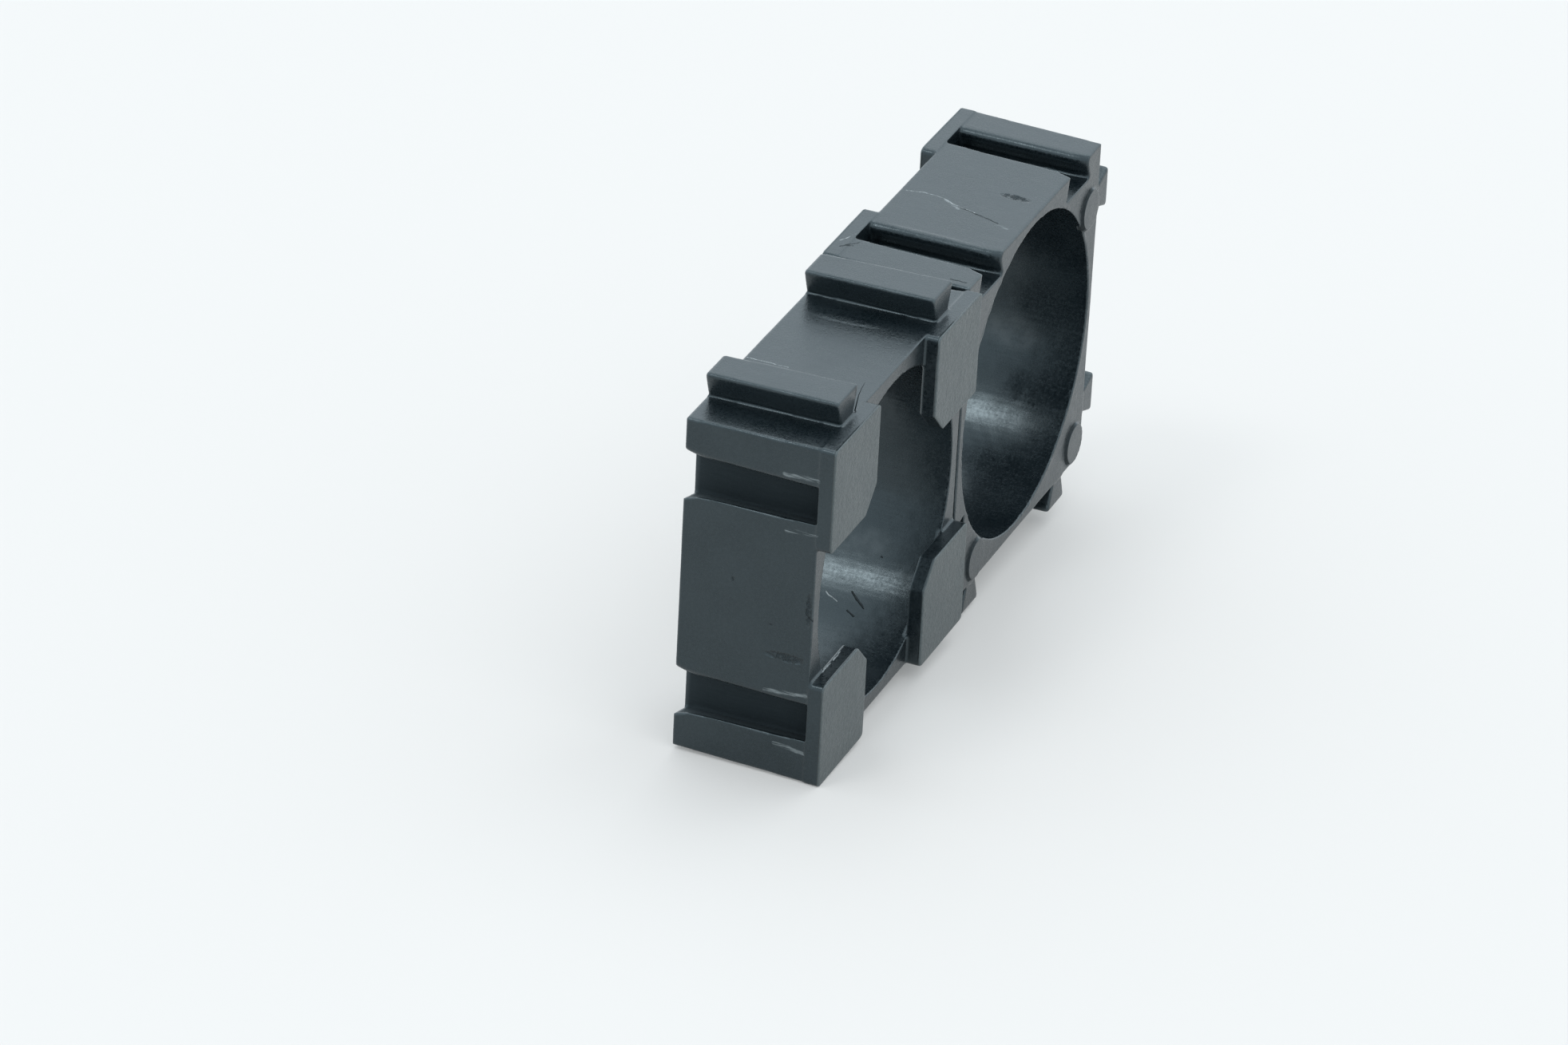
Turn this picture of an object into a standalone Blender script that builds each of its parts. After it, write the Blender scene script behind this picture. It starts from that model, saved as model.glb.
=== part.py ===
"""Two single-cell spacer brackets for 18650 cylindrical batteries, clipped side by side.

Each bracket is one moulding: a square block with a round bore for the cell, two dovetail
slots on each of two sides, two dovetail tongues on each of the other two sides, four corner
pads that stop the cell, and three raised ejector-pin discs on its plain face.
The near bracket's tongues sit in the far bracket's slots, and the far bracket slides off
along +Y.

Frame: metres, +Z up, +X along the pair, bores along Y, the near bracket's pads towards -Y.
The origin is at the middle of the pair's footprint, at the height of its lowest tongues.
"""
import math

import bmesh
import bpy
from mathutils import Matrix

MM = 0.001

# Driving dimensions
PITCH = 20.2 * MM           # cell to cell, centre to centre
SEAM_GAP = 0.2 * MM         # between the two brackets' mating faces
BORE_DIAMETER = 18.65 * MM  # at mid depth, for an 18 mm cell with room to slide in
DEPTH = 7.7 * MM            # the block, without its pads
DRAFT = math.radians(1)     # moulding taper: everything is narrower towards the plain face
PAD_SIDE = 6.0 * MM         # corner pads
PAD_HEIGHT = 0.85 * MM
PAD_CHAMFER = 1.4 * MM      # the pad's corner that points at the bore
CLIP_INSET = 3.45 * MM      # slot and tongue centres, from the block's edges

# Widths are at mid depth, before corners are rounded
CRISP_LIP = 1.05 * MM       # the two lips of a slot, from its centre line
BROAD_LIP = 0.8 * MM
SLOT_FLOOR = 3.3 * MM
SLOT_DEPTH = 1.5 * MM
TONGUE_NECK = 1.4 * MM
TONGUE_HEAD = 2.5 * MM
TONGUE_SHOULDER = 1.4 * MM  # height at which the head is at its widest
TONGUE_HEIGHT = 1.6 * MM

DISC_DIAMETER = 2.4 * MM    # ejector-pin discs
DISC_HEIGHT = 0.15 * MM
DISC_EDGE = 1.45 * MM       # disc centre from a tongued edge
DISC_SLOT_EDGE = 3.6 * MM   # disc centre from a slotted edge

EDGE_RADIUS = 0.15 * MM     # corners of the block
FREE_CORNER_FRONT = 0.3 * MM  # the corner between the two tongued sides, behind its pad
FREE_CORNER_BACK = 1.4 * MM   # and at the plain face, where it is rounded away
CRISP_LIP_RADIUS = 0.1 * MM  # the slot lip nearer to the slotted corner
BROAD_LIP_RADIUS = 0.4 * MM  # the lip nearer to the tongued side, where a tongue is led in
FLOOR_RADIUS = 0.15 * MM
SHOULDER_RADIUS = 0.05 * MM
HEAD_RADIUS = 0.1 * MM
PAD_RADIUS = 0.3 * MM

FAR_LIFT = 0.1 * MM         # play in the clips: the far bracket sits this much higher
END_GAP = 0.05 * MM         # a tongue stops short of the plain face by this much
STEP = 0.05 * MM            # pads stand proud of the block's sides and sit into it by this
ROOT = 0.4 * MM             # how far tongues and discs run into the block

BORE_SEGMENTS = 96
DISC_SEGMENTS = 32
ARC_STEPS = 4

# Derived sizes
SIDE = PITCH - SEAM_GAP
HALF = SIDE / 2
FRONT = -DEPTH / 2          # the padded face, in the bracket's own frame
BACK = DEPTH / 2            # the plain face
CLIP_OFFSET = HALF - CLIP_INSET
TAPER = BACK * math.tan(DRAFT)
LENGTH = STEP + 2 * TAPER + PITCH + SIDE + TONGUE_HEIGHT


def rounded(corners):
    """Outline points through (x, z, radius) corners, each one turned into an arc."""
    points = []
    for i, (x, z, radius) in enumerate(corners):
        if radius == 0:
            points.append((x, z))
            continue
        before = corners[i - 1]
        after = corners[(i + 1) % len(corners)]
        angle_in = math.atan2(before[1] - z, before[0] - x)
        angle_out = math.atan2(after[1] - z, after[0] - x)
        turn = (angle_out - angle_in + math.pi) % (2 * math.pi) - math.pi
        middle = angle_in + turn / 2
        reach = radius / math.sin(abs(turn) / 2)
        cx, cz = x + reach * math.cos(middle), z + reach * math.sin(middle)
        sweep = math.copysign(math.pi - abs(turn), turn)
        start = middle + math.pi + sweep / 2
        for k in range(ARC_STEPS + 1):
            angle = start - sweep * k / ARC_STEPS
            points.append((cx + radius * math.cos(angle), cz + radius * math.sin(angle)))
    return points


def turned(corners, quarter_turns):
    """The same corners turned by quarter turns about the bore's axis."""
    for _ in range(quarter_turns):
        corners = [(-z, x, radius) for x, z, radius in corners]
    return corners


def slot_corners(centre, edge, widening):
    """One dovetail slot in the bottom side, from -X to +X."""
    floor = SLOT_FLOOR / 2 + widening
    top = -edge + SLOT_DEPTH
    return [
        (centre - CRISP_LIP - widening, -edge, CRISP_LIP_RADIUS),
        (centre - floor, top, FLOOR_RADIUS),
        (centre + floor, top, FLOOR_RADIUS),
        (centre + BROAD_LIP + widening, -edge, BROAD_LIP_RADIUS),
    ]


def block_outline(narrowing, free_radius):
    """The block in XZ: slots on the bottom and left sides, plain right and top sides."""
    edge = HALF - narrowing
    bottom = slot_corners(-CLIP_OFFSET, edge, narrowing)
    bottom += slot_corners(CLIP_OFFSET, edge, narrowing)
    left = [(z, x, radius) for x, z, radius in reversed(bottom)]
    lower_right = (edge, -edge, EDGE_RADIUS)
    free_corner = (edge, edge, free_radius)
    upper_left = (-edge, edge, EDGE_RADIUS)
    lower_left = (-edge, -edge, EDGE_RADIUS)
    return rounded(bottom + [lower_right, free_corner, upper_left] + left + [lower_left])


def tongue_corners(centre, narrowing):
    """One dovetail tongue on the top side."""
    neck = TONGUE_NECK / 2 - narrowing
    head = TONGUE_HEAD / 2 - narrowing
    root = neck - (head - neck) * ROOT / TONGUE_SHOULDER
    edge = HALF - narrowing
    right = [
        (centre + root, edge - ROOT, 0),
        (centre + head, edge + TONGUE_SHOULDER, SHOULDER_RADIUS),
        (centre + head, edge + TONGUE_HEIGHT, HEAD_RADIUS),
    ]
    left = [(2 * centre - x, z, radius) for x, z, radius in reversed(right)]
    return right + left


def pad_corners():
    """The pad at the lower left corner, its chamfer towards the bore."""
    low = -HALF - TAPER - STEP
    high = -HALF + PAD_SIDE
    return [
        (low, low, PAD_RADIUS),
        (high, low, PAD_RADIUS),
        (high, high - PAD_CHAMFER, PAD_RADIUS),
        (high - PAD_CHAMFER, high, PAD_RADIUS),
        (low, high, PAD_RADIUS),
    ]


def prism(name, outline_low, outline_high, y_low, y_high, place):
    """A solid from one outline in XZ at y_low to another, with as many points, at y_high."""
    bm = bmesh.new()
    low = [bm.verts.new((x, y_low, z)) for x, z in outline_low]
    high = [bm.verts.new((x, y_high, z)) for x, z in outline_high]
    bm.faces.new(low)
    bm.faces.new(high)
    for i in range(len(low)):
        bm.faces.new((low[i - 1], low[i], high[i], high[i - 1]))
    bmesh.ops.recalc_face_normals(bm, faces=bm.faces)
    mesh = bpy.data.meshes.new(name)
    bm.to_mesh(mesh)
    bm.free()
    return add_object(name, mesh, place)


def round_solid(name, radius_low, radius_high, centre, y_low, y_high, segments, place):
    """A round solid along Y with its axis through centre, in XZ."""
    bm = bmesh.new()
    towards_low_y = Matrix.Rotation(math.pi / 2, 4, "X")
    middle = Matrix.Translation((centre[0], (y_low + y_high) / 2, centre[1]))
    bmesh.ops.create_cone(bm, cap_ends=True, segments=segments, radius1=radius_high,
                          radius2=radius_low, depth=y_high - y_low,
                          matrix=middle @ towards_low_y)
    mesh = bpy.data.meshes.new(name)
    bm.to_mesh(mesh)
    bm.free()
    return add_object(name, mesh, place)


def add_object(name, mesh, place):
    obj = bpy.data.objects.new(name, mesh)
    obj.matrix_world = place
    bpy.context.scene.collection.objects.link(obj)
    return obj


def combine(block, tool, operation):
    """A Boolean on the block; the tool itself isn't part of the model."""
    tool.hide_render = True
    tool.display_type = "WIRE"
    cut = block.modifiers.new(tool.name, "BOOLEAN")
    cut.solver = "EXACT"
    cut.operation = operation
    cut.object = tool


def plastic(name):
    """Black moulded plastic with a low sheen."""
    material = bpy.data.materials.new(name)
    material.use_nodes = True
    shader = material.node_tree.nodes["Principled BSDF"]
    shader.inputs["Base Color"].default_value = (0.022, 0.026, 0.029, 1)
    shader.inputs["Roughness"].default_value = 0.42
    shader.inputs["Metallic"].default_value = 0
    return material


def bracket(name, place):
    """One bracket, centred on its bore, with its slots on -X and -Z before it is placed."""
    padded, plain = block_outline(-TAPER, FREE_CORNER_FRONT), block_outline(TAPER, FREE_CORNER_BACK)
    block = prism(name, padded, plain, FRONT, BACK, place)

    beyond = DEPTH
    bore_low = BORE_DIAMETER / 2 + (FRONT - beyond) * math.tan(DRAFT)
    bore_high = BORE_DIAMETER / 2 + (BACK + beyond) * math.tan(DRAFT)
    bore = round_solid(name + "_bore", bore_low, bore_high, (0, 0), FRONT - beyond,
                       BACK + beyond, BORE_SEGMENTS, place)
    combine(block, bore, "DIFFERENCE")

    for turn in range(4):
        outline = rounded(turned(pad_corners(), turn))
        pad = prism(f"{name}_pad_{turn}", outline, outline, FRONT - PAD_HEIGHT, FRONT + STEP,
                    place)
        combine(block, pad, "UNION")

    for side, turn in (("top", 0), ("right", 3)):
        for number, centre in enumerate((-CLIP_OFFSET, CLIP_OFFSET)):
            wide = rounded(turned(tongue_corners(centre, -TAPER), turn))
            narrow = rounded(turned(tongue_corners(centre, TAPER), turn))
            tongue = prism(f"{name}_{side}_tongue_{number}", wide, narrow, FRONT + STEP,
                           BACK - END_GAP, place)
            combine(block, tongue, "UNION")

    free = HALF - DISC_EDGE
    beside_slot = HALF - DISC_SLOT_EDGE
    for number, centre in enumerate(((free, free), (-beside_slot, free), (free, -beside_slot))):
        disc = round_solid(f"{name}_disc_{number}", DISC_DIAMETER / 2, DISC_DIAMETER / 2, centre,
                           BACK - ROOT, BACK + DISC_HEIGHT, DISC_SEGMENTS, place)
        combine(block, disc, "UNION")

    block.data.materials.append(plastic(name + "_plastic"))
    block.data.shade_smooth()
    block.data.set_sharp_from_angle(angle=math.radians(30))


def main():
    for obj in list(bpy.data.objects):
        bpy.data.objects.remove(obj, do_unlink=True)
    near_x = -LENGTH / 2 + STEP + TAPER + HALF
    far_z = TONGUE_HEIGHT + TAPER + HALF
    near = Matrix.Translation((near_x, 0, far_z - FAR_LIFT))
    turned_over = Matrix.Rotation(math.pi, 4, "X")
    far = Matrix.Translation((near_x + PITCH, 0, far_z)) @ turned_over
    bracket("near_bracket", near)
    bracket("far_bracket", far)


main()
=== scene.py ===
"""Looks of the two cell spacer brackets: detailed mouldings in black plastic on a pale floor.

Each moulding is built in millimetres in its own frame: bore along Y through the origin, pads
towards -Y, slots on -X and -Z, tongues on +X and +Z. It is then put where its CAD node is.
"""
import math

import bmesh
import bpy
import numpy as np
from mathutils import Matrix, Vector


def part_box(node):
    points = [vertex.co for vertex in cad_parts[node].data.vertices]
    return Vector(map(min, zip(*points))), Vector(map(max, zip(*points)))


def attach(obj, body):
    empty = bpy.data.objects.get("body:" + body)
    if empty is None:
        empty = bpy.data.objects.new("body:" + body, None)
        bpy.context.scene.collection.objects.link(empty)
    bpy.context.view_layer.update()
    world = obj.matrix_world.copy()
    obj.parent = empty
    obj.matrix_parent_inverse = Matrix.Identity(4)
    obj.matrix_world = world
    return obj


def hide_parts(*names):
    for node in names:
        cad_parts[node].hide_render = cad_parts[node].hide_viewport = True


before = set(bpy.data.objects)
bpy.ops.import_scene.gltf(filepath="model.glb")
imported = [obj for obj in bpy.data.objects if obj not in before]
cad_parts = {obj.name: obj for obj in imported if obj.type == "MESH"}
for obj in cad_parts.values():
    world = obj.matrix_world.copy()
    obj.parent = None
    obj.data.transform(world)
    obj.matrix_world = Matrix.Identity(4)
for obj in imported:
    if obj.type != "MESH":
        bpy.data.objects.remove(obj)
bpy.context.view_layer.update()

MM = 0.001

# ---------------------------------------------------------------- the moulding, in millimetres
HALF = 10.0
DEPTH = 7.7
FRONT, BACK = -DEPTH / 2, DEPTH / 2
BORE_RADIUS = 18.65 / 2
SLOPE = math.tan(math.radians(1))   # moulding draft, narrower towards the plain face
TAPER = BACK * SLOPE
STEP = 0.05                         # pads stand proud of the block's sides
ROOT = 0.4                          # how far an added solid runs into the block
OVERSHOOT = 5.0                     # how far the bore's cutter runs past the block
BORE_SEGMENTS, DISC_SEGMENTS = 128, 48

PAD_SIDE, PAD_HEIGHT, PAD_CHAMFER = 6.0, 0.85, 1.4
PAD_CORNER, PAD_EDGE = 0.2, 0.3     # radii at the block's corner and everywhere else
FREE_CORNER = 0.3, 1.4              # radius behind the pad and at the plain face
SHARED_CORNER, SLOTTED_CORNER = 0.12, 0.15

CLIP_OFFSET = HALF - 3.45
CRISP_LIP, BROAD_LIP = 1.05, 0.8    # a slot's two lips, from its centre line
CRISP_RADIUS, BROAD_RADIUS = 0.03, 0.4
SLOT_FLOOR, SLOT_DEPTH = 3.3, 1.5
FLOOR_RADII = 0.05, 0.2             # below the crisp lip and below the broad one
FLARE, FLARE_LENGTH = 0.3, 1.3      # how far a slot's lips open out at its open end
FLOOR_FLARE = 0.3                   # share of that at the slot's floor
FLARE_STEPS = 6

TONGUE_NECK, TONGUE_HEAD, TONGUE_SHOULDER, TONGUE_HEIGHT = 1.4, 2.5, 1.4, 1.6
SHOULDER_RADIUS, HEAD_RADIUS = 0.03, 0.14
TONGUE_SECTIONS = (                 # (place along the tongue, how much smaller its head is)
    (FRONT + STEP, 0.06),
    (FRONT + STEP + 0.08, 0.0),
    (BACK - 0.15, 0.0),
    (BACK - 0.05, 0.08),
)

DISC_RADIUS, DISC_HEIGHT = 1.2, 0.15
FREE_DISC, SLOT_DISC = HALF - 1.45, HALF - 3.6   # disc centres, from the bore's axis
DISC_PLACES = (FREE_DISC, FREE_DISC), (-SLOT_DISC, FREE_DISC), (FREE_DISC, -SLOT_DISC)

VOXEL = 0.085
SMOOTHING, SWELL = 3, 1.04          # rounds, and how much of each is given back
UNEVENNESS = (0.018, 5.0), (0.006, 1.3), (0.003, 0.45)   # (height, size of its waves)
FLASH = (BACK, 0.05), (FRONT, 0.03)                      # (rim of the bore, height)
FLASH_REACH = 0.2
EDGE_ROUNDS, EDGE_RISE = 6, 0.05    # how an outer edge is told from a flat


def rounded(corners, steps=6):
    """Outline points through (x, z, radius) corners, each one turned into an arc."""
    points = []
    for i, (x, z, radius) in enumerate(corners):
        if radius == 0:
            points.append((x, z))
            continue
        before, after = corners[i - 1], corners[(i + 1) % len(corners)]
        angle_in = math.atan2(before[1] - z, before[0] - x)
        angle_out = math.atan2(after[1] - z, after[0] - x)
        turn = (angle_out - angle_in + math.pi) % (2 * math.pi) - math.pi
        middle = angle_in + turn / 2
        reach = radius / math.sin(abs(turn) / 2)
        cx, cz = x + reach * math.cos(middle), z + reach * math.sin(middle)
        sweep = math.copysign(math.pi - abs(turn), turn)
        start = middle + math.pi + sweep / 2
        for k in range(steps + 1):
            angle = start - sweep * k / steps
            points.append((cx + radius * math.cos(angle), cz + radius * math.sin(angle)))
    return points


def turned(corners, quarter_turns):
    """The corners turned anticlockwise about the bore's axis."""
    for _ in range(quarter_turns):
        corners = [(-z, x, radius) for x, z, radius in corners]
    return corners


def slot_corners(centre, edge, widening, flare):
    """A slot in the bottom side: a crisp lip on its -X side, a broad one on its +X side."""
    floor = SLOT_FLOOR / 2 + widening + flare * FLOOR_FLARE
    top = -edge + SLOT_DEPTH
    return [
        (centre - CRISP_LIP - widening - flare, -edge, CRISP_RADIUS),
        (centre - floor, top, FLOOR_RADII[0]),
        (centre + floor, top, FLOOR_RADII[1]),
        (centre + BROAD_LIP + widening + flare, -edge, BROAD_RADIUS),
    ]


def block_outline(y):
    """The block's outline at a place along the bore, with its four open slots."""
    narrowing = y * SLOPE
    edge = HALF - narrowing
    lead = max(0.0, (y - BACK) / FLARE_LENGTH + 1)
    flare = FLARE * lead * lead
    bottom = slot_corners(-CLIP_OFFSET, edge, narrowing, flare)
    bottom += slot_corners(CLIP_OFFSET, edge, narrowing, flare)
    left = [(z, x, radius) for x, z, radius in reversed(bottom)]
    free_radius = FREE_CORNER[0] + (FREE_CORNER[1] - FREE_CORNER[0]) * (y - FRONT) / DEPTH
    corners = [(edge, -edge, SHARED_CORNER), (edge, edge, free_radius),
               (-edge, edge, SHARED_CORNER)]
    return rounded(bottom + corners + left + [(-edge, -edge, SLOTTED_CORNER)])


def tongue_outline(centre, y, turn, shrink):
    """A dovetail tongue's outline on the top side, or on the side that the turn leads to."""
    narrowing = y * SLOPE
    neck, head = TONGUE_NECK / 2 - narrowing, TONGUE_HEAD / 2 - narrowing - shrink
    root = neck - (head - neck) * ROOT / TONGUE_SHOULDER
    edge = HALF - narrowing
    right = [
        (centre + root, edge - ROOT, 0),
        (centre + head, edge + TONGUE_SHOULDER, SHOULDER_RADIUS),
        (centre + head, edge + TONGUE_HEIGHT - shrink, HEAD_RADIUS),
    ]
    left = [(2 * centre - x, z, radius) for x, z, radius in reversed(right)]
    return rounded(turned(right + left, turn))


def pad_outline(turn):
    """A corner pad's outline, with its chamfer towards the bore."""
    low, high = -HALF - TAPER - STEP, -HALF + PAD_SIDE
    corners = [
        (low, low, PAD_CORNER),
        (high, low, PAD_EDGE),
        (high, high - PAD_CHAMFER, PAD_EDGE),
        (high - PAD_CHAMFER, high, PAD_EDGE),
        (low, high, PAD_EDGE),
    ]
    return rounded(turned(corners, turn))


def circle(centre, radius, segments):
    angles = [2 * math.pi * k / segments for k in range(segments)]
    return [(centre[0] + radius * math.cos(a), centre[1] + radius * math.sin(a)) for a in angles]


def place_object(name, data):
    obj = bpy.data.objects.new(name, data)
    bpy.context.scene.collection.objects.link(obj)
    return obj


def skin(name, rings):
    """A closed mesh through rings of points with the same number of points each."""
    bm = bmesh.new()
    rings = [[bm.verts.new(point) for point in ring] for ring in rings]
    bm.faces.new(rings[0])
    bm.faces.new(rings[-1])
    for low, high in zip(rings, rings[1:]):
        for i in range(len(low)):
            bm.faces.new((low[i - 1], low[i], high[i], high[i - 1]))
    bmesh.ops.recalc_face_normals(bm, faces=bm.faces)
    mesh = bpy.data.meshes.new(name)
    bm.to_mesh(mesh)
    bm.free()
    return mesh


def loft(name, sections):
    """A closed solid through (y, outline) sections along the bore."""
    rings = [[(x, y, z) for x, z in outline] for y, outline in sections]
    return place_object(name, skin(name, rings))


def moulding_mesh():
    """The moulding as one even mesh, before its edges are softened."""
    lead = [BACK - FLARE_LENGTH * k / FLARE_STEPS for k in range(FLARE_STEPS, 0, -1)]
    block = loft("block", [(y, block_outline(y)) for y in [FRONT, 0.0, *lead, BACK]])
    tools = []

    def combine(tool, operation):
        cut = block.modifiers.new(tool.name, "BOOLEAN")
        cut.solver, cut.operation, cut.object = "EXACT", operation, tool
        tools.append(tool)

    bore = [(y, circle((0, 0), BORE_RADIUS + y * SLOPE, BORE_SEGMENTS))
            for y in (FRONT - OVERSHOOT, BACK + OVERSHOOT)]
    combine(loft("bore", bore), "DIFFERENCE")
    for turn in range(4):
        outline = pad_outline(turn)
        combine(loft(f"pad_{turn}", [(FRONT - PAD_HEIGHT, outline), (FRONT + STEP, outline)]),
                "UNION")
    for turn in (0, 3):
        for centre in (-CLIP_OFFSET, CLIP_OFFSET):
            sections = [(y, tongue_outline(centre, y, turn, shrink))
                        for y, shrink in TONGUE_SECTIONS]
            combine(loft("tongue", sections), "UNION")
    for centre in DISC_PLACES:
        disc = circle(centre, DISC_RADIUS, DISC_SEGMENTS)
        combine(loft("disc", [(BACK - ROOT, disc), (BACK + DISC_HEIGHT, disc)]), "UNION")

    remesh = block.modifiers.new("remesh", "REMESH")
    remesh.mode, remesh.voxel_size, remesh.adaptivity = "VOXEL", VOXEL, 0.0
    depsgraph = bpy.context.evaluated_depsgraph_get()
    mesh = bpy.data.meshes.new_from_object(block.evaluated_get(depsgraph))
    for obj in (block, *tools):
        bpy.data.objects.remove(obj, do_unlink=True)
    return mesh


def read(mesh, what):
    """The mesh's points ("co") or point normals ("normal"), one row each."""
    values = np.empty(len(mesh.vertices) * 3)
    mesh.vertices.foreach_get(what, values)
    return values.reshape(-1, 3)


def smoothed(mesh, points, rounds, keep_volume=True):
    """Points moved half way to their neighbours' mean, then back out to keep the volume."""
    edges = np.empty(len(mesh.edges) * 2, dtype=np.int64)
    mesh.edges.foreach_get("vertices", edges)
    a, b = edges.reshape(-1, 2).T
    count = np.bincount(np.concatenate([a, b]), minlength=len(points))[:, None]
    shares = (0.5, -0.5 * SWELL) if keep_volume else (0.5,)
    for share in shares * rounds:
        total = np.stack([
            np.bincount(a, points[b, k], len(points)) + np.bincount(b, points[a, k], len(points))
            for k in range(3)], axis=1)
        points = points + share * (total / count - points)
    return points


def value_noise(points, size, seed):
    """Smooth noise from -1 to 1 with features of about the given size."""
    period = 32
    table = np.random.RandomState(seed).uniform(-1, 1, (period, period, period))
    scaled = points / size
    cell = np.floor(scaled).astype(int)
    part = scaled - cell
    part = part * part * (3 - 2 * part)
    total = np.zeros(len(points))
    for corner in range(8):
        shift = np.array([corner & 1, corner >> 1 & 1, corner >> 2 & 1])
        weight = np.prod(np.where(shift, part, 1 - part), axis=1)
        i, j, k = ((cell + shift) % period).T
        total += weight * table[i, j, k]
    return total


def detailed(mesh, seed):
    """The moulding's points with softened edges, unevenness and flash."""
    points = smoothed(mesh, read(mesh, "co"), SMOOTHING)
    mesh.vertices.foreach_set("co", points.ravel())
    mesh.update()
    normals = read(mesh, "normal")
    x, y, z = points.T
    amount = 0.0
    for i, (height, size) in enumerate(UNEVENNESS):
        amount = amount + height * value_noise(points, size, seed + i)
    # Flash: a ragged thin ridge round both rims of the bore
    radius = np.hypot(x, z)
    ragged = value_noise(points, 0.5, seed + 3) + 0.3 * value_noise(points, 0.2, seed + 4)
    for rim_y, rim_height in FLASH:
        rim = np.hypot(radius - BORE_RADIUS - rim_y * SLOPE, y - rim_y)
        amount += rim_height * np.clip(1 - rim / FLASH_REACH, 0, 1) * np.clip(ragged, 0, 1)
    return points + normals * amount[:, None]


def curvature(mesh, points, normals):
    """How far each point stands out from its neighbourhood: above 0 on outer edges."""
    spread = smoothed(mesh, points, EDGE_ROUNDS, keep_volume=False)
    return np.einsum("ij,ij->i", points - spread, normals)


def moulding(name, base, place, seed):
    """One finished moulding, in metres about the bracket's centre."""
    mesh = base.copy()
    mesh.name = name
    points = detailed(mesh, seed)
    mesh.vertices.foreach_set("co", points.ravel())
    mesh.update()
    edge = curvature(mesh, points, read(mesh, "normal"))
    attribute = mesh.attributes.new("edge", "FLOAT", "POINT")
    attribute.data.foreach_set("value", np.clip(edge / EDGE_RISE, -1, 1).astype(np.float32))
    mesh.transform(Matrix.Scale(MM, 4))
    mesh.transform(place.to_3x3().to_4x4())
    mesh.polygons.foreach_set("use_smooth", np.ones(len(mesh.polygons), dtype=bool))
    mesh.update()
    obj = place_object(name, mesh)
    obj.location = place.translation
    return obj


def hair(name, places, radius, sides=6, thinning=0.7):
    """A fine curled burr: a closed tapering tube through places, in millimetres."""
    angles = [2 * math.pi * k / sides for k in range(sides)]
    rings = []
    for i, (x, y, z) in enumerate(places):
        reach = radius * (1 - thinning * i / (len(places) - 1))
        rings.append([(x + reach * math.cos(a), y + reach * math.sin(a), z) for a in angles])
    mesh = skin(name, rings)
    mesh.transform(Matrix.Scale(MM, 4))
    return place_object(name, mesh)


# ---------------------------------------------------------------- marks of making and use, and painted light
# In millimetres from each bracket's centre, in the object's own directions. A line is given by
# its points, a spot by its centre and its reach along X, Y and Z. Burrs are pale threads,
# grooves dark scratches, scuffs rough pits and ripples uneven patches. Streaks are pale lines:
# rubbed scratches on the far bracket's top, painted highlights along mould ridges at the near
# bracket's slot ends. The spots on the bores' walls are painted highlights. A disc is the middle
# of an ejector disc, beside which a dark crescent of painted shade lies on one side.
NEAR_MARKS = {
    "burrs": [
        [(-2.32, 3.7, 9.93), (-2.45, 1.35, 9.98)],
        [(-5.3, -3.9, -4.0), (-7.2, -4.0, -3.98), (-8.7, -3.95, -3.98)],
        [(5.4, 1.5, -7.66), (5.28, 1.34, -7.72), (4.99, 0.67, -7.9)],
        [(6.1, 0.9, -7.05), (6.0, 0.1, -7.12)],
    ],
    "grooves": [
        [(4.68, -0.06, -8.06), (4.43, -0.55, -8.2)],
        [(5.6, 0.1, -7.45), (5.0, -0.9, -7.88)],
        [(-10.07, -3.5, 0.1), (-10.07, -3.85, -0.2)],
    ],
    # pale lines at the slots' front ends: painted highlights along mould ridges
    "streaks": [
        [(-9.98, -1.85, 8.1), (-10.07, -3.8, 8.2)],
        [(-10.04, -2.1, 4.82), (-10.08, -3.8, 4.98)],
        [(-9.95, -1.3, -5.0), (-10.03, -3.7, -4.8)],
        [(-10.03, -2.0, -8.08), (-10.06, -3.7, -8.3)],
    ],
    "scuffs": [
        ((-10.03, -2.4, -2.78), (0.6, 1.4, 0.3)),
        ((-10.0, 0.81, 1.12), (0.4, 0.12, 0.16)),
        ((-10.03, -1.43, -1.01), (0.4, 0.2, 0.08)),
        ((-10.07, -3.6, 0.4), (0.4, 0.2, 1.2)),
        ((7.3, -0.9, -5.9), (0.12, 0.16, 0.12)),
    ],
    "ripples": [((3.95, 0.6, 10.0), (0.5, 2.6, 0.5))],
    # painted highlights on the bore's wall
    "bore_highlights": [
        ((7.6, 0.6, -5.3), (1.2, 2.6, 1.1)),
        ((6.3, 1.9, -7.0), (1.3, 1.5, 1.2)),
        ((2.6, 3.0, -8.9), (1.6, 1.2, 0.8)),
    ],
    "discs": [(x, BACK, z) for x, z in DISC_PLACES],
}
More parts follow.
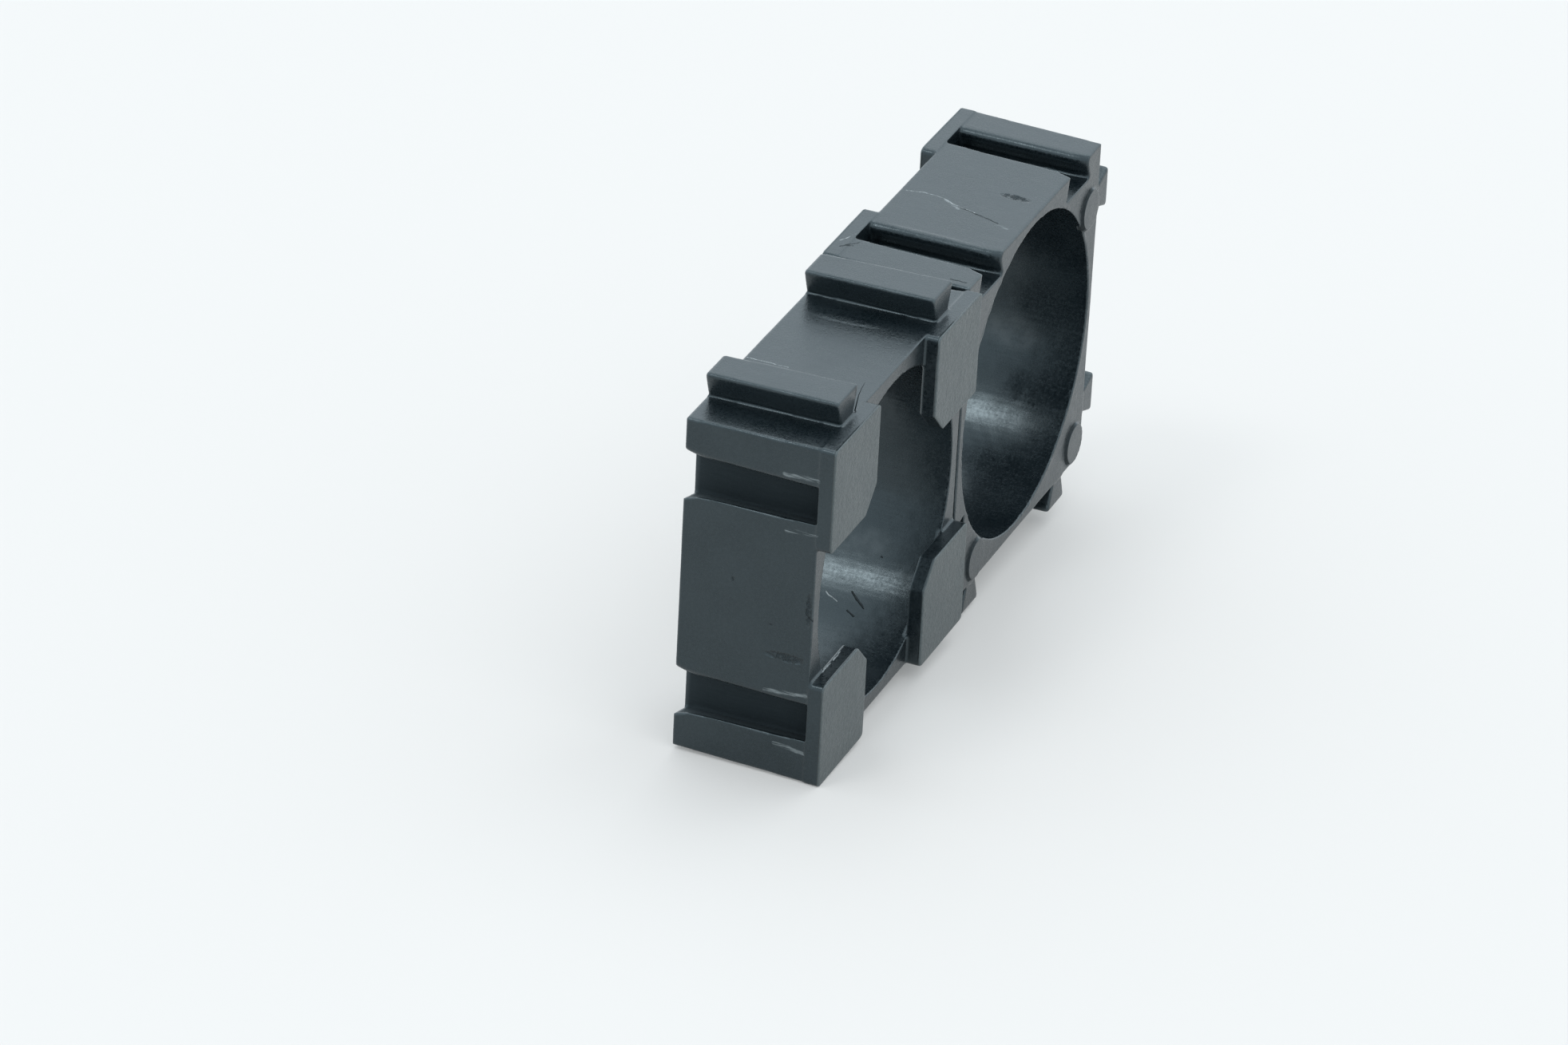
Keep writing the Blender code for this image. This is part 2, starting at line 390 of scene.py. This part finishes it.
FAR_MARKS = {
    "burrs": [
        [(-0.95, 3.5, 10.06), (-0.67, 2.54, 10.04), (-0.76, 1.46, 10.02),
         (-1.24, 0.42, 10.0), (-1.51, -0.81, 9.98)],
        [(-8.3, 4.4, 10.11), (-7.17, 3.88, 10.11)],
    ],
    "grooves": [
        [(-1.3, 0.3, 10.0), (-1.6, -0.81, 9.98), (-1.83, -1.48, 9.97), (-2.1, -2.4, 9.96)],
        [(-8.92, 4.1, 10.11), (-8.44, 3.5, 10.11)],
        [(-8.7, 3.9, 10.11), (-7.8, 3.3, 10.11)],
        [(-9.42, -2.6, 9.96), (-9.43, -3.5, 9.95)],
    ],
    "streaks": [
        [(-0.9, 1.2, 10.02), (-1.5, 0.2, 10.0)],
        [(-2.1, -2.3, 9.96), (-2.4, -3.0, 9.95)],
    ],
    "scuffs": [((1.25, -2.1, 9.96), (0.36, 1.05, 0.5))],
    "ripples": [((-5.2, 0.0, 9.9), (0.35, 4.2, 0.5))],
    # painted highlights on the bore's wall, where its soft reflections fall
    "bore_highlights": [
        ((6.4, -0.6, -6.8), (0.5, 1.6, 0.5)),
        ((8.9, 0.5, -2.6), (0.6, 2.2, 1.6)),
    ],
    "discs": [(x, FRONT, -z) for x, z in DISC_PLACES],
}
HAIR_RADIUS = 0.04
HAIR_PATH = [(-5.34, -3.7, 9.95), (-5.3, -3.78, 10.5), (-5.26, -3.86, 11.0),
             (-5.2, -3.98, 11.4), (-5.12, -4.12, 11.75)]


# ---------------------------------------------------------------- materials
FAR_AWAY = 10.0
ACROSS_BORE, ALONG_BORE = (1, 0, 1), (0, 1, 0)

# Each pair is where a mask is 0 and where it is 1, in millimetres
BORE_OUTSIDE, BORE_INSIDE, BORE_ENDS = (9.46, 9.42), (9.1, 9.2), (3.84, 3.7)
PAD_FACES = 4.56, 4.64
SLOT_SIDES, SLOT_ENDS = (1.9, 1.7), (3.84, 3.5)
SLOT_MOUTHS, SLOT_FLOORS = (-9.95, -9.5), (-8.2, -8.4)
# where the painted shade crescent beside each ejector disc fades out
SHADE_CRESCENT_WIDTH, SHADE_CRESCENT_DEPTH = (0.12, 0.05), (0.3, 0.2)

# the painted shade crescent's radius, and the side of the disc it lies on
SHADE_CRESCENT_RADIUS = DISC_RADIUS + 0.03
SHADE_CRESCENT_SIDE = -1, 0, 0.3
BURR_WIDTH, GROOVE_WIDTH, STREAK_WIDTH = 0.05, 0.07, 0.16
WANDER = 0.22                       # how far a line strays from being straight

PLASTIC_DARK, PLASTIC_LIGHT = (0.0025, 0.0050, 0.0068, 1), (0.0052, 0.0085, 0.0105, 1)
GRAIN_GREY = 0.018, 0.024, 0.027, 1
LEATHER_GREY = 0.046, 0.055, 0.055, 1
# painted highlight along the outer edges
EDGE_HIGHLIGHT_GREY = 0.10, 0.115, 0.12, 1
# painted highlights on the bores' walls
BORE_HIGHLIGHT_GREY = 0.055, 0.062, 0.065, 1
# pale lines: rubbed scratches, and painted highlights along mould ridges
STREAK_GREY = 0.17, 0.19, 0.195, 1
BURR_GREY = 0.30, 0.325, 0.33, 1
# dark scratches, and the painted shade beside the ejector discs
GROOVE_AND_SHADE_BLACK = 0.001, 0.001, 0.001, 1


class Nodes:
    """Short calls for building a node tree."""

    def __init__(self, owner):
        owner.use_nodes = True
        self.tree = owner.node_tree
        self.shader = self.tree.nodes.get("Principled BSDF")

    def node(self, kind, **values):
        node = self.tree.nodes.new(kind)
        for key, value in values.items():
            setattr(node, key, value)
        return node

    def feed(self, socket, value):
        if isinstance(value, bpy.types.NodeSocket):
            self.tree.links.new(value, socket)
        else:
            socket.default_value = value

    def math(self, operation, a, b=0.0, clamp=False):
        node = self.node("ShaderNodeMath", operation=operation, use_clamp=clamp)
        self.feed(node.inputs[0], a)
        self.feed(node.inputs[1], b)
        return node.outputs[0]

    def product(self, first, *others):
        for other in others:
            first = self.math("MULTIPLY", first, other)
        return first

    def total(self, first, *weighted):
        """The first value plus each of the others times its weight."""
        for value, weight in weighted:
            first = self.math("ADD", first, self.math("MULTIPLY", value, weight))
        return first

    def vector(self, operation, a, b=(0, 0, 0), c=(0, 0, 0), scale=1.0):
        node = self.node("ShaderNodeVectorMath", operation=operation)
        for socket, value in zip(node.inputs, (a, b, c, scale)):
            self.feed(socket, value)
        has_number = operation in ("DISTANCE", "DOT_PRODUCT", "LENGTH")
        return node.outputs["Value" if has_number else "Vector"]

    def noise(self, vector, scale, detail=2.0, roughness=0.5, output="Fac"):
        node = self.node("ShaderNodeTexNoise")
        self.feed(node.inputs["Vector"], vector)
        node.inputs["Scale"].default_value = scale
        node.inputs["Detail"].default_value = detail
        node.inputs["Roughness"].default_value = roughness
        return node.outputs[output]

    def ramp(self, value, low, high, to_low=0.0, to_high=1.0, smooth=True):
        node = self.node("ShaderNodeMapRange",
                         interpolation_type="SMOOTHSTEP" if smooth else "LINEAR")
        self.feed(node.inputs["Value"], value)
        for key, number in (("From Min", low), ("From Max", high),
                            ("To Min", to_low), ("To Max", to_high)):
            self.feed(node.inputs[key], number)
        return node.outputs["Result"]

    def mix(self, share, a, b):
        node = self.node("ShaderNodeMix", data_type="RGBA")
        self.feed(node.inputs["Factor"], share)
        self.feed(node.inputs[6], a)
        self.feed(node.inputs[7], b)
        return node.outputs[2]

    def line_distance(self, place, start, end):
        """How far the place is from the line from start to end."""
        start, end = Vector(start), Vector(end)
        along = end - start
        offset = self.vector("SUBTRACT", place, tuple(start))
        share = self.math("MULTIPLY", self.vector("DOT_PRODUCT", offset, tuple(along)),
                          1 / along.length_squared, clamp=True)
        return self.vector("DISTANCE", offset, self.vector("SCALE", tuple(along), scale=share))

    def lines(self, place, lines, half_width):
        """1 on any of the lines, 0 beyond their half width."""
        nearest = FAR_AWAY
        for line in lines:
            for start, end in zip(line, line[1:]):
                nearest = self.math("MINIMUM", self.line_distance(place, start, end), nearest)
        return self.ramp(nearest, half_width * 0.25, half_width, 1.0, 0.0)

    def spots(self, place, spots):
        """1 in the middle of any of the spots, 0 beyond their reach."""
        nearest = FAR_AWAY
        for centre, reach in spots:
            offset = self.vector("DIVIDE", self.vector("SUBTRACT", place, centre), reach)
            nearest = self.math("MINIMUM", self.vector("LENGTH", offset), nearest)
        return self.ramp(nearest, 0.4, 1.0, 1.0, 0.0)

    def disc_shade_crescents(self, place, centres):
        """Painted shade: a dark crescent along one side of each ejector disc."""
        crescents = 0.0
        for centre in centres:
            offset = self.vector("SUBTRACT", place, centre)
            away = self.vector("LENGTH", self.vector("MULTIPLY", offset, ACROSS_BORE))
            from_crescent = self.math("ABSOLUTE", self.math("SUBTRACT", away, SHADE_CRESCENT_RADIUS))
            side = self.vector("DOT_PRODUCT", offset, SHADE_CRESCENT_SIDE)
            depth = self.math("ABSOLUTE", self.vector("DOT_PRODUCT", offset, ALONG_BORE))
            crescent = self.product(self.ramp(from_crescent, *SHADE_CRESCENT_WIDTH), self.ramp(side, 0.1, 0.6),
                               self.ramp(depth, *SHADE_CRESCENT_DEPTH))
            crescents = self.math("MAXIMUM", crescent, crescents)
        return crescents


def textures(n, place):
    """The noises that the material is made of, from wide clouds down to pores."""
    return {
        "cloud": n.noise(place, 0.35, 3.0),
        "patch": n.noise(place, 1.1, 3.0),
        "coarse": n.noise(place, 3.2, 4.0, 0.65),
        "grain": n.noise(place, 6.5, 2.0, 0.6),
        "pores": n.noise(place, 15.0, 1.0),
        "drag": n.noise(n.vector("MULTIPLY", place, (9.0, 0.5, 9.0)), 1.0, 3.0, 0.6),
    }


def regions(n, place):
    """Masks of the bore's wall, the pads' faces and the insides of the two end slots."""
    parts = n.node("ShaderNodeSeparateXYZ")
    n.feed(parts.inputs[0], place)
    x, y, z = parts.outputs
    along = n.math("ABSOLUTE", y)
    radius = n.vector("LENGTH", n.vector("MULTIPLY", place, ACROSS_BORE))
    from_slot = n.math("ABSOLUTE", n.math("SUBTRACT", n.math("ABSOLUTE", z), CLIP_OFFSET))
    return {
        "bore": n.product(n.ramp(radius, *BORE_OUTSIDE), n.ramp(radius, *BORE_INSIDE),
                          n.ramp(along, *BORE_ENDS)),
        "pads": n.ramp(along, *PAD_FACES),
        "slots": n.product(n.ramp(from_slot, *SLOT_SIDES), n.ramp(x, *SLOT_MOUTHS),
                           n.ramp(x, *SLOT_FLOORS), n.ramp(along, *SLOT_ENDS)),
    }


def wear(n, place, shifted, marks, texture):
    """Masks of the painted highlights along outer edges and of each kind of mark, painted
    highlights and painted shade among them.
    """
    edge = n.node("ShaderNodeAttribute", attribute_name="edge").outputs["Fac"]
    coarse, patch, drag = texture["coarse"], texture["patch"], texture["drag"]
    # Marks follow a slightly wandering copy of the place, so no line is ruler straight
    middle = n.vector("ADD", place, (-WANDER / 2,) * 3)
    stray = n.noise(shifted, 1.6, 3.0, output="Color")
    wander = n.vector("MULTIPLY_ADD", stray, (WANDER,) * 3, middle)
    grooves = n.lines(wander, marks["grooves"], GROOVE_WIDTH)
    return {
        # painted highlight: outer edges lightened, broken up by noise
        "edges": n.product(n.ramp(edge, 0.25, 1.0), n.ramp(coarse, 0.3, 0.6, 0.35, 1.0)),
        "burrs": n.product(n.lines(wander, marks["burrs"], BURR_WIDTH),
                           n.ramp(coarse, 0.4, 0.55, 0.1, 1.0)),
        # dark scratches, together with the painted shade crescents beside the ejector discs
        "grooves": n.math("MAXIMUM", grooves, n.disc_shade_crescents(place, marks["discs"])),
        # pale lines: rubbed scratches, and painted highlights along mould ridges at the slot
        # ends
        "streaks": n.product(n.lines(wander, marks["streaks"], STREAK_WIDTH),
                             n.ramp(drag, 0.42, 0.6)),
        "scuffs": n.product(n.spots(place, marks["scuffs"]), n.ramp(coarse, 0.42, 0.52)),
        "ripples": n.spots(place, marks["ripples"]),
        # painted highlights: pale patches on the bore's wall
        "bore_highlights": n.product(n.spots(wander, marks["bore_highlights"]),
                           n.ramp(patch, 0.35, 0.65, 0.3, 1.0)),
    }


def plastic_colour(n, texture, mask):
    """Near black, greyer in its grain and on the pads, with each mark in its own grey: painted
    highlights along edges, on the bores' walls and on mould ridges, and painted shade beside the
    discs.
    """
    colour = n.mix(n.ramp(texture["cloud"], 0.3, 0.7), PLASTIC_DARK, PLASTIC_LIGHT)
    colour = n.mix(n.ramp(texture["grain"], 0.35, 0.8, 0.0, 0.35), colour, GRAIN_GREY)
    leather = n.product(mask["pads"], n.ramp(texture["coarse"], 0.35, 0.65, 0.75, 1.0))
    colour = n.mix(leather, colour, LEATHER_GREY)
    # edges get a painted highlight, the spots in the bores painted highlights, and the streaks
    # partly painted highlights along mould ridges
    for kind, share, grey in (("edges", 0.6, EDGE_HIGHLIGHT_GREY), ("bore_highlights", 0.6, BORE_HIGHLIGHT_GREY),
                              ("streaks", 0.8, STREAK_GREY), ("burrs", 0.9, BURR_GREY)):
        colour = n.mix(n.math("MULTIPLY", mask[kind], share), colour, grey)
    # dark scratches and the painted shade beside each ejector disc
    return n.mix(mask["grooves"], colour, GROOVE_AND_SHADE_BLACK)


def plastic_roughness(n, texture, mask):
    """Satin, glossier on the bore's wall, which a polished core shaped, duller in the slots."""
    rough = n.ramp(texture["cloud"], 0.25, 0.75, 0.26, 0.34, smooth=False)
    rough = n.math("ADD", rough, n.ramp(texture["grain"], 0.3, 0.7, -0.04, 0.06, smooth=False))
    rough = n.math("ADD", rough, n.ramp(texture["drag"], 0.35, 0.7, -0.03, 0.03, smooth=False))
    marked = n.math("ADD", mask["grooves"], mask["scuffs"])
    return n.total(rough, (mask["bore"], -0.06), (mask["pads"], 0.1), (mask["slots"], 0.6),
                   (marked, 0.5))


def plastic_relief(n, texture, mask):
    """How high the surface stands, in millimetres: the bore's wall is the smoothest."""
    coarse, grain = texture["coarse"], texture["grain"]
    fine = n.total(n.math("MULTIPLY", grain, 0.011), (texture["pores"], 0.004),
                   (texture["drag"], 0.004))
    smoother = n.math("SUBTRACT", 1.0, n.math("MULTIPLY", mask["bore"], 0.8))
    return n.total(n.product(fine, smoother), (mask["burrs"], 0.02), (mask["grooves"], -0.04),
                   (n.product(mask["scuffs"], grain), -0.32),
                   (n.product(mask["pads"], coarse), 0.09),
                   (n.product(mask["ripples"], coarse), 0.05))


def plastic(name, seed, marks):
    """Black moulded plastic: satin, finely grained, lighter along its burrs and rubbed
    scratches, with painted highlights along its edges, on its bore's wall and on mould ridges,
    and painted shade beside its discs.
    """
    material = bpy.data.materials.new(name)
    n = Nodes(material)
    metres = n.node("ShaderNodeTexCoord").outputs["Object"]
    place = n.vector("MULTIPLY", metres, (1 / MM,) * 3)
    shifted = n.vector("ADD", place, (seed * 37.0, seed * 11.0, seed * 5.0))
    texture = textures(n, shifted)
    mask = {**regions(n, place), **wear(n, place, shifted, marks, texture)}

    bump = n.node("ShaderNodeBump")
    bump.inputs["Strength"].default_value = 1.0
    bump.inputs["Distance"].default_value = MM
    n.feed(bump.inputs["Height"], plastic_relief(n, texture, mask))
    n.feed(n.shader.inputs["Base Color"], plastic_colour(n, texture, mask))
    n.feed(n.shader.inputs["Roughness"], plastic_roughness(n, texture, mask))
    n.feed(n.shader.inputs["Normal"], bump.outputs["Normal"])
    n.shader.inputs["IOR"].default_value = 1.62
    n.shader.inputs["Specular Tint"].default_value = (0.76, 0.93, 1, 1)
    return material


# ---------------------------------------------------------------- the two brackets
near_low = Vector(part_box("near_bracket")[0])
far_low, far_high = map(Vector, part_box("far_bracket"))
reach = HALF + TAPER + STEP         # from a bracket's centre to its pads' outer edges
near_centre = Vector((near_low.x / MM + reach, 0, near_low.z / MM + reach)) * MM
far_centre = Vector((far_low.x / MM + reach, 0, far_high.z / MM - reach)) * MM

base = moulding_mesh()
near_place = Matrix.Translation(near_centre)
far_place = Matrix.Translation(far_centre) @ Matrix.Rotation(math.pi, 4, "X")
for node, body, place, seed, marks in (("near_bracket", "near", near_place, 3, NEAR_MARKS),
                                       ("far_bracket", "far", far_place, 11, FAR_MARKS)):
    piece = moulding(node + "_moulding", base, place, seed)
    piece.data.materials.append(plastic(node + "_black", seed, marks))
    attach(piece, body)
    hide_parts(node)
bpy.data.meshes.remove(base)

burr = hair("near_bracket_burr", HAIR_PATH, HAIR_RADIUS)
burr.location = near_centre
burr.data.materials.append(bpy.data.materials["near_bracket_black"])
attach(burr, "near")

# ---------------------------------------------------------------- floor, light and camera
FLOOR_REACH = 3.0
FLOOR_COLOUR, FLOOR_GLOW = (0.452, 0.436, 0.422, 1), (0.97, 1, 1, 1)
SKY_COLOUR, SKY_STRENGTHS = (0.90, 0.99, 1.05, 1), (1.24, 1.52)
BRIGHTER_SIDE = 0.89, 0.36, 0.28
LIGHTS = (                          # name, place, side in metres, watts
    ("key", (-0.25, -0.5, 0.9), 0.5, 1.0),
    ("fill", (0.55, 0.0, 0.9), 0.7, 2.0),
    ("overhead", (-0.45, 0.28, 0.85), 0.22, 1.2),
)
AZIMUTH, ELEVATION, ROLL = math.radians(68.273), math.radians(29.307), math.radians(2.967)
CAMERA_PLACE = Vector((-0.348708, -0.132569, 0.214893))
SENSOR_WIDTH, FOCAL_LENGTH = 36, 178.6


def lay_floor():
    """A pale board under both brackets, glowing a little, as its shadows are faint.

    The near bracket stands on its lower slotted edge and the far one on its lower tongues,
    so the board tilts to touch both.
    """
    right_foot = Vector((far_centre.x - (CLIP_OFFSET + TONGUE_HEAD / 2) * MM, 0, far_low.z))
    tilt = math.atan2(near_low.z - right_foot.z, right_foot.x - near_low.x)
    corners = [(-1, -1), (1, -1), (1, 1), (-1, 1)]
    mesh = bpy.data.meshes.new("floor")
    mesh.from_pydata([(x * FLOOR_REACH, y * FLOOR_REACH, 0) for x, y in corners], [],
                     [(0, 1, 2, 3)])
    floor = place_object("floor", mesh)
    floor.location = right_foot
    floor.rotation_euler = (0, tilt, 0)
    material = bpy.data.materials.new("pale_floor")
    shader = Nodes(material).shader
    for key, value in (("Base Color", FLOOR_COLOUR), ("Roughness", 0.9),
                       ("Emission Color", FLOOR_GLOW), ("Emission Strength", 0.2)):
        shader.inputs[key].default_value = value
    mesh.materials.append(material)


def light_studio():
    """Even pale surroundings, a little brighter on one side, and three soft lights."""
    world = bpy.data.worlds.new("studio")
    n = Nodes(world)
    toward = n.vector("DOT_PRODUCT", n.node("ShaderNodeTexCoord").outputs["Generated"],
                      BRIGHTER_SIDE)
    background = world.node_tree.nodes["Background"]
    background.inputs["Color"].default_value = SKY_COLOUR
    n.feed(background.inputs["Strength"], n.ramp(toward, -0.2, 0.9, *SKY_STRENGTHS))
    bpy.context.scene.world = world
    for name, place, side, power in LIGHTS:
        data = bpy.data.lights.new(name, "AREA")
        data.shape, data.size, data.energy = "SQUARE", side, power
        light = place_object(name, data)
        light.location = place
        light.rotation_euler = (-Vector(place)).to_track_quat("-Z", "Y").to_euler()


def aim_camera():
    """A long lens that looks down from the slotted end."""
    forward = Vector((math.sin(AZIMUTH) * math.cos(ELEVATION),
                      math.cos(AZIMUTH) * math.cos(ELEVATION), -math.sin(ELEVATION)))
    level = Vector((math.cos(AZIMUTH), -math.sin(AZIMUTH), 0))
    right = level * math.cos(ROLL) + level.cross(forward) * math.sin(ROLL)
    up = right.cross(forward)
    data = bpy.data.cameras.new("camera")
    data.sensor_width, data.lens = SENSOR_WIDTH, FOCAL_LENGTH
    data.clip_start, data.clip_end = 0.01, 20
    camera = place_object("camera", data)
    camera.matrix_world = (Matrix.Translation(CAMERA_PLACE)
                           @ Matrix((right, up, -forward)).transposed().to_4x4())
    bpy.context.scene.camera = camera


lay_floor()
light_studio()
aim_camera()
bpy.context.scene.view_settings.view_transform = "Standard"
